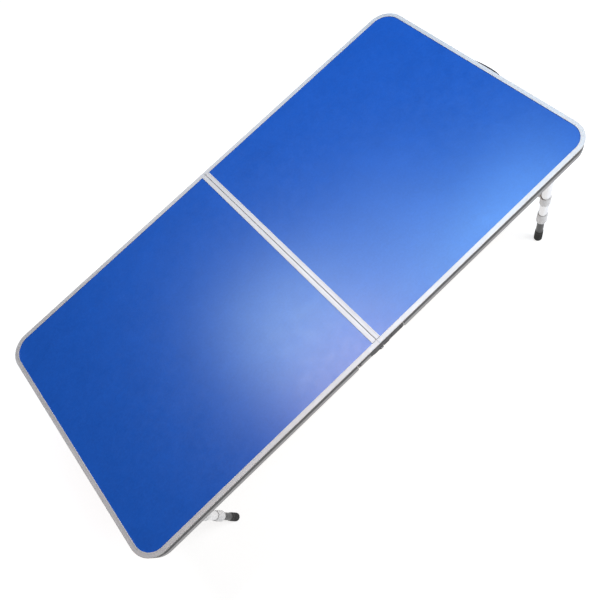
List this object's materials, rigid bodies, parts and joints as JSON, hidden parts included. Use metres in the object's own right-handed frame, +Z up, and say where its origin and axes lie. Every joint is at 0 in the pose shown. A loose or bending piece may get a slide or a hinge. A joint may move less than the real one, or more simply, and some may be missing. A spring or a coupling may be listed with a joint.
{
  "type": "folding camping table",
  "caption": "Low suitcase-style folding table: two hinged laminate tops in aluminium rails, telescopic folding legs, wire braces, carry handle and clasps.",
  "frame": {"origin": "on the floor, at the middle of the bounding box in plan, with the legs down and retracted", "axes": "+X along the table from the left half to the half with the handle, +Y to the far side, +Z up"},
  "size_m": [1.2356, 0.6, 0.36],
  "materials": {
    "blue_laminate": "satin laminate on fibreboard",
    "rail_aluminium": "satin anodised extrusion",
    "tube_aluminium": "satin anodised tube",
    "black_tube": "black powder coat",
    "black_plastic": "fine moulded texture",
    "grey_plastic": "fine moulded texture",
    "pale_plastic": "fine moulded texture",
    "zinc_steel": "zinc plated"
  },
  "bodies": {
    "left_half": {"left_top_board": "blue_laminate", "left_edge_rail": "rail_aluminium", "left_seam_rail": "rail_aluminium", "left_near_hinge_leaf": "black_plastic", "left_near_brace_saddle": "black_plastic", "left_near_leg_bracket": "grey_plastic", "left_near_leg_pivot_bolt": "zinc_steel", "left_far_hinge_leaf": "black_plastic", "left_far_brace_saddle": "black_plastic", "left_far_leg_bracket": "grey_plastic", "left_far_leg_pivot_bolt": "zinc_steel", "near_hinge_pin": "zinc_steel", "near_clasp_keeper": "zinc_steel", "far_hinge_pin": "zinc_steel", "far_clasp_keeper": "zinc_steel"},
    "right_half": {"right_top_board": "blue_laminate", "right_edge_rail": "rail_aluminium", "right_seam_rail": "rail_aluminium", "right_near_hinge_leaf": "black_plastic", "right_near_brace_saddle": "black_plastic", "right_near_leg_bracket": "grey_plastic", "right_near_leg_pivot_bolt": "zinc_steel", "right_far_hinge_leaf": "black_plastic", "right_far_brace_saddle": "black_plastic", "right_far_leg_bracket": "grey_plastic", "right_far_leg_pivot_bolt": "zinc_steel", "near_clasp_rivet": "zinc_steel", "far_clasp_rivet": "zinc_steel", "handle_base": "black_plastic"},
    "left_leg_frame": {"left_crossbar": "tube_aluminium", "left_brace_clip": "black_plastic", "left_near_leg_head": "grey_plastic", "left_near_upper_tube": "tube_aluminium", "left_far_leg_head": "grey_plastic", "left_far_upper_tube": "tube_aluminium"},
    "left_brace_wire": {"left_brace": "zinc_steel"},
    "left_near_lower_leg": {"left_near_lower_tube": "black_tube", "left_near_foot": "black_plastic"},
    "left_near_lock": {"left_near_twist_collar": "pale_plastic"},
    "left_far_lower_leg": {"left_far_lower_tube": "black_tube", "left_far_foot": "black_plastic"},
    "left_far_lock": {"left_far_twist_collar": "pale_plastic"},
    "right_leg_frame": {"right_crossbar": "tube_aluminium", "right_brace_clip": "black_plastic", "right_near_leg_head": "grey_plastic", "right_near_upper_tube": "tube_aluminium", "right_far_leg_head": "grey_plastic", "right_far_upper_tube": "tube_aluminium"},
    "right_brace_wire": {"right_brace": "zinc_steel"},
    "right_near_lower_leg": {"right_near_lower_tube": "black_tube", "right_near_foot": "black_plastic"},
    "right_near_lock": {"right_near_twist_collar": "pale_plastic"},
    "right_far_lower_leg": {"right_far_lower_tube": "black_tube", "right_far_foot": "black_plastic"},
    "right_far_lock": {"right_far_twist_collar": "pale_plastic"},
    "handle": {"carry_handle": "black_plastic"},
    "near_hook": {"near_clasp": "zinc_steel"},
    "far_hook": {"far_clasp": "zinc_steel"}
  },
  "joints": [
    {"name": "table_fold", "type": "hinge", "parent": "left_half", "child": "right_half", "pos_m": [-0.01466, 0, 0.33], "axis": [0, 1, 0], "range_deg": [0, 180]},
    {"name": "left_leg_fold", "type": "hinge", "parent": "left_half", "child": "left_leg_frame", "pos_m": [-0.52466, 0, 0.3426], "axis": [0, -1, 0], "range_deg": [0, 90]},
    {"name": "left_brace_fold", "type": "hinge", "parent": "left_half", "child": "left_brace_wire", "pos_m": [-0.35266, 0, 0.3515], "axis": [0, 1, 0], "range_deg": [0, 40]},
    {"name": "right_leg_fold", "type": "hinge", "parent": "right_half", "child": "right_leg_frame", "pos_m": [0.49534, 0, 0.3426], "axis": [0, 1, 0], "range_deg": [0, 90]},
    {"name": "right_brace_fold", "type": "hinge", "parent": "right_half", "child": "right_brace_wire", "pos_m": [0.32334, 0, 0.3515], "axis": [0, -1, 0], "range_deg": [0, 40]},
    {"name": "left_near_leg_slide", "type": "slide", "parent": "left_leg_frame", "child": "left_near_lower_leg", "axis": [0, 0, 1], "range_m": [-0.19, 0]},
    {"name": "left_far_leg_slide", "type": "slide", "parent": "left_leg_frame", "child": "left_far_lower_leg", "axis": [0, 0, 1], "range_m": [-0.19, 0]},
    {"name": "right_near_leg_slide", "type": "slide", "parent": "right_leg_frame", "child": "right_near_lower_leg", "axis": [0, 0, 1], "range_m": [-0.19, 0]},
    {"name": "right_far_leg_slide", "type": "slide", "parent": "right_leg_frame", "child": "right_far_lower_leg", "axis": [0, 0, 1], "range_m": [-0.19, 0]},
    {"name": "left_near_lock_twist", "type": "hinge", "parent": "left_leg_frame", "child": "left_near_lock", "pos_m": [-0.52466, -0.246, 0.111], "axis": [0, 0, 1], "range_deg": [0, 90]},
    {"name": "left_far_lock_twist", "type": "hinge", "parent": "left_leg_frame", "child": "left_far_lock", "pos_m": [-0.52466, 0.246, 0.111], "axis": [0, 0, 1], "range_deg": [0, 90]},
    {"name": "right_near_lock_twist", "type": "hinge", "parent": "right_leg_frame", "child": "right_near_lock", "pos_m": [0.49534, -0.272, 0.111], "axis": [0, 0, 1], "range_deg": [0, 90]},
    {"name": "right_far_lock_twist", "type": "hinge", "parent": "right_leg_frame", "child": "right_far_lock", "pos_m": [0.49534, 0.272, 0.111], "axis": [0, 0, 1], "range_deg": [0, 90]},
    {"name": "handle_swing", "type": "hinge", "parent": "right_half", "child": "handle", "pos_m": [0.59054, 0, 0.338], "axis": [0, 1, 0], "range_deg": [-45, 45]},
    {"name": "near_clasp_swing", "type": "hinge", "parent": "right_half", "child": "near_hook", "pos_m": [0.58654, -0.17, 0.346], "axis": [-1, 0, 0], "range_deg": [0, 90]},
    {"name": "far_clasp_swing", "type": "hinge", "parent": "right_half", "child": "far_hook", "pos_m": [0.58654, 0.17, 0.346], "axis": [1, 0, 0], "range_deg": [0, 90]}
  ],
  "couplings": [
    {"joint": "left_leg_fold", "follows": "table_fold", "ratio": 0.5},
    {"joint": "left_brace_fold", "follows": "table_fold", "ratio": 0.22222},
    {"joint": "right_leg_fold", "follows": "table_fold", "ratio": 0.5},
    {"joint": "right_brace_fold", "follows": "table_fold", "ratio": 0.22222}
  ]
}
